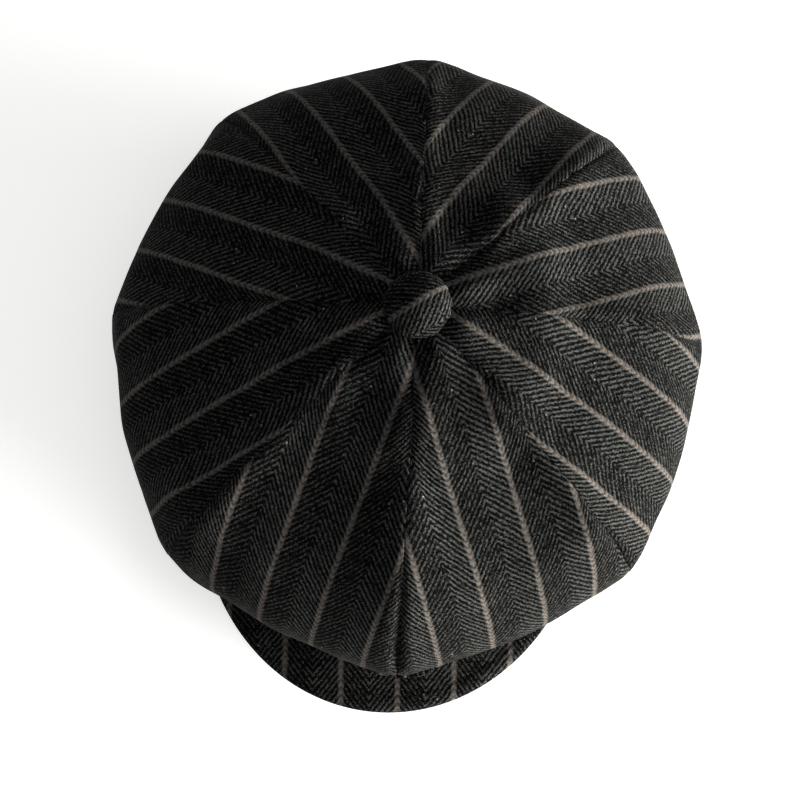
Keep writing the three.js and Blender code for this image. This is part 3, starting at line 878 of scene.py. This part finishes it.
def buckram():
    """Cotton gauze stiffened with starch: an open plain weave, threads 0.9 mm apart, cream."""
    material, tree = new_material("starched_buckram")
    place = node(tree, "ShaderNodeUVMap", uv_map="cloth").outputs[0]
    split = node(tree, "ShaderNodeSeparateXYZ", {0: place})
    warp = node(tree, "ShaderNodeMath", {0: split.outputs[0], 1: 0.45}, operation="PINGPONG")
    weft = node(tree, "ShaderNodeMath", {0: split.outputs[1], 1: 0.45}, operation="PINGPONG")
    threads = node(tree, "ShaderNodeMath", {0: warp, 1: weft}, operation="MAXIMUM")
    colour = node(tree, "ShaderNodeMix", {0: threads, 6: linear("#8f8674"),
                                          7: linear("#d6cfbf")}, data_type="RGBA")
    bump = node(tree, "ShaderNodeBump", {"Height": threads, "Strength": 0.6,
                                         "Distance": 0.3 * MM})
    shader = node(tree, "ShaderNodeBsdfPrincipled", {
        "Base Color": colour.outputs[2], "Roughness": 0.85, "Normal": bump})
    node(tree, "ShaderNodeOutputMaterial", {"Surface": shader.outputs[0]})
    return material


stiff_low, stiff_high = box_mm("band_stiffener")
ABOVE_FOLD = 3.4
stiff_bottom = BAND_BOTTOM + ABOVE_FOLD
stiff_grid, stiff_cloth = oval_ring(strip_profile(-2.1, -3.3, stiff_bottom, stiff_high[2], 0.2))
stiffener = sheet_mesh("buckram_strip", stiff_grid, stiff_cloth)
finish_cap_piece(stiffener, buckram(), "band_stiffener")

# --- Sweatband ---
# A black grosgrain ribbon lines the opening. It is sewn to the band's bottom edge, stands up
# free inside, and its ends overlap at the back of the head.
sweat_low, sweat_high = box_mm("sweatband")
sweat_profile = strip_profile(-3.6, -5.0, sweat_low[2] + 0.1, sweat_high[2], 0.6, 34)
OVERLAP = 0.07


def sweat_push(angle, offset, z):
    """The ribbon's free top edge waves in and out by up to 0.5 mm, and its inside face steps in by
    0.5 mm where the end lies over the start."""
    waves = (0.3 * np.sin(5 * angle + 0.6) + 0.2 * np.sin(12 * angle)) * smoothstep(z, 8, 30)
    lapped = 1 - smoothstep(math.pi - np.abs(angle), OVERLAP, OVERLAP + 0.012)
    return waves - np.where(offset < -4.3, 0.5 * lapped, 0.0)


sweat_grid, sweat_cloth = oval_ring(sweat_profile, sweat_push)


def grosgrain_ribbon():
    """Ribbed ribbon: thick hidden wefts covered by fine warps give cross ribs 1.1 mm apart, with
    a slight gloss on their tops. Black, greyer where the ribs and grain stand higher."""
    material, tree = new_material("grosgrain_ribbon")
    place = node(tree, "ShaderNodeUVMap", uv_map="cloth").outputs[0]
    split = node(tree, "ShaderNodeSeparateXYZ", {0: place})
    rib = node(tree, "ShaderNodeMath", {0: split.outputs[0], 1: 0.55}, operation="PINGPONG")
    grain = node(tree, "ShaderNodeTexNoise", {"Vector": place, "Scale": 3.0, "Detail": 2.0})
    height = node(tree, "ShaderNodeMath", {0: grain.outputs[0], 1: 0.35, 2: rib},
                  operation="MULTIPLY_ADD")
    shade = node(tree, "ShaderNodeMapRange", {0: height, 1: 0.1, 2: 0.8})
    colour = node(tree, "ShaderNodeMix", {0: shade, 6: linear("#0e0e10"), 7: linear("#2a2a2d")},
                  data_type="RGBA")
    bump = node(tree, "ShaderNodeBump", {"Height": height, "Strength": 0.7,
                                         "Distance": 0.4 * MM})
    shader = node(tree, "ShaderNodeBsdfPrincipled", {
        "Base Color": colour.outputs[2], "Roughness": 0.6, "Specular IOR Level": 0.4,
        "Sheen Weight": 0.15, "Normal": bump})
    node(tree, "ShaderNodeOutputMaterial", {"Surface": shader.outputs[0]})
    return material


sweatband = sheet_mesh("sweatband_ribbon", sweat_grid, sweat_cloth)
finish_cap_piece(sweatband, grosgrain_ribbon(), "sweatband")


def cotton_thread():
    """Waxed cotton sewing thread: two plies, dark grey, matt."""
    material, tree = new_material("cotton_thread")
    place = node(tree, "ShaderNodeTexCoord").outputs["Object"]
    ply = node(tree, "ShaderNodeTexNoise", {"Vector": place, "Scale": 1800.0, "Detail": 2.0})
    colour = node(tree, "ShaderNodeMix", {0: ply.outputs[0], 6: linear("#26262a"),
                                          7: linear("#4a4a4e")}, data_type="RGBA")
    shader = node(tree, "ShaderNodeBsdfPrincipled", {"Base Color": colour.outputs[2],
                                                     "Roughness": 0.7, "Sheen Weight": 0.2})
    node(tree, "ShaderNodeOutputMaterial", {"Surface": shader.outputs[0]})
    return material


thread = cotton_thread()


def stitch_row(name, centres, along, facing, length, radius=0.28):
    """Stitches as one mesh. Each is a thread from end to end of `length`, arched out along
    `facing` by a parabola and tapered to a point where it dives into the cloth."""
    along = along / np.linalg.norm(along, axis=-1, keepdims=True)
    beside = np.cross(along, facing)
    step = np.array([-1, -0.7, 0, 0.7, 1])[:, None]
    turn = np.linspace(0, 2 * math.pi, 7)[:-1][None, :]
    thick = radius * (1 - step**4)
    lean = step * length / 2 + 0 * turn
    rise = thick * np.sin(turn) + radius * (0.7 - 1.6 * step**2)
    swing = thick * np.cos(turn)
    points = (centres[:, None, None] + along[:, None, None] * lean[..., None]
              + facing[:, None, None] * rise[..., None] + beside[:, None, None] * swing[..., None])
    stitch_points = step.size * turn.size
    cell = np.arange(stitch_points).reshape(step.size, turn.size)
    next_ = np.roll(cell, -1, 1)
    faces = np.stack([cell[:-1], next_[:-1], next_[1:], cell[1:]], -1).reshape(-1, 4)
    first_point = stitch_points * np.arange(len(centres))
    faces = (faces[None] + first_point[:, None, None]).reshape(-1, 4)
    mesh = bpy.data.meshes.new(name)
    mesh.from_pydata((points.reshape(-1, 3) * MM).tolist(), [], faces.tolist())
    merge_points(mesh, turn_outwards=True)
    row = bpy.data.objects.new(name, mesh)
    bpy.context.scene.collection.objects.link(row)
    row.data.materials.append(thread)
    return row


STITCH_PITCH = 3.4
STITCH_LENGTH = 2.6
stitch_count = int(round_length / STITCH_PITCH)
stitch_angle = np.linspace(-math.pi, math.pi, stitch_count + 1)[:-1]
for name, offset, stitch_z in (("lower", -5.0, 3.2), ("upper", -5.0, 28.6)):
    half_x, half_y = band_half + offset
    centres = np.stack([half_x * np.sin(stitch_angle), band_centre_y - half_y * np.cos(stitch_angle),
                        np.full(stitch_count, stitch_z)], -1)
    along = np.stack([half_x * np.cos(stitch_angle), half_y * np.sin(stitch_angle),
                      np.zeros(stitch_count)], -1)
    facing = -np.stack([np.sin(stitch_angle) / half_x, -np.cos(stitch_angle) / half_y,
                        np.zeros(stitch_count)], -1)
    facing /= np.linalg.norm(facing, axis=-1, keepdims=True)
    stitches = stitch_row(f"sweatband_stitches_{name}", centres, along, facing, STITCH_LENGTH)
    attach(stitches, "cap")

# --- Labels ---
# A woven patch is sewn to the lining behind the button, and a small woven tab for the size
# hangs inside the sweatband at the back. Both are left without lettering.
patch_low, patch_high = box_mm("lining_patch")


def on_lining(x, y, below):
    """Points on the lining over given x and y: the azimuth and the reach from the button give
    the way down the dome, whose height, with the relaxed shift, gives z."""
    azimuth = np.arctan2(x - button_x, button_y - y)
    out = np.hypot(x - button_x, y - button_y)
    rim_point = dome(azimuth, np.ones_like(out), LINING_INSET, LINING_HEM)
    rim = np.hypot(rim_point[..., 0] - button_x, rim_point[..., 1] - button_y)
    way = np.arcsin(np.clip(out / rim, 0, 1)) * 2 / math.pi
    z = dome(azimuth, way, LINING_INSET, LINING_HEM)[..., 2] + read_shift(azimuth, way)[..., 2]
    return np.stack([x, y, z - below], -1)


def damask_label():
    """Woven label: fine polyester warp, a dark ground with a plain woven border and small
    lozenges in grey, dense and slightly glossy."""
    material, tree = new_material("woven_label")
    place = node(tree, "ShaderNodeUVMap", uv_map="cloth").outputs[0]
    split = node(tree, "ShaderNodeSeparateXYZ", {0: place})
    x_part = node(tree, "ShaderNodeMath", {0: split.outputs[0], 1: 3.0}, operation="PINGPONG")
    y_part = node(tree, "ShaderNodeMath", {0: split.outputs[1], 1: 3.0}, operation="PINGPONG")
    lozenge = node(tree, "ShaderNodeMath", {0: x_part, 1: y_part})
    shown = node(tree, "ShaderNodeMapRange", {0: lozenge, 1: 1.0, 2: 0.7})
    rows = node(tree, "ShaderNodeMath", {0: split.outputs[1], 1: 0.2}, operation="PINGPONG")
    colour = node(tree, "ShaderNodeMix", {0: shown, 6: linear("#1d2026"), 7: linear("#8b8b88")},
                  data_type="RGBA")
    bump = node(tree, "ShaderNodeBump", {"Height": rows, "Strength": 0.5, "Distance": 0.2 * MM})
    shader = node(tree, "ShaderNodeBsdfPrincipled", {
        "Base Color": colour.outputs[2], "Roughness": 0.5, "Sheen Weight": 0.2, "Normal": bump})
    node(tree, "ShaderNodeOutputMaterial", {"Surface": shader.outputs[0]})
    return material


label = damask_label()
LABEL_THICKNESS = 0.5
BELOW_LINING = 1.6
patch_x, patch_y = np.meshgrid(np.linspace(patch_low[0], patch_high[0], 47),
                               np.linspace(patch_low[1], patch_high[1], 29)[::-1])
patch_grid = on_lining(patch_x, patch_y, BELOW_LINING)
patch_cloth = np.stack([patch_x, patch_y - patch_low[1]], -1)
patch = sheet_mesh("woven_patch", patch_grid, patch_cloth)
thicken(patch, LABEL_THICKNESS)
finish_cap_piece(patch, label, "lining_patch")

tab_low, tab_high = box_mm("size_tab")
tab_x, tab_z = np.meshgrid(np.linspace(tab_low[0], tab_high[0], 19),
                           np.linspace(tab_high[2], tab_low[2], 25))
tab_curl = 0.8 * ((tab_high[2] - tab_z) / (tab_high[2] - tab_low[2])) ** 2
tab_grid = np.stack([tab_x, tab_low[1] - tab_curl, tab_z], -1)
tab = sheet_mesh("woven_size_tab", tab_grid, np.stack([tab_x, tab_z], -1))
thicken(tab, LABEL_THICKNESS)
finish_cap_piece(tab, label, "size_tab")
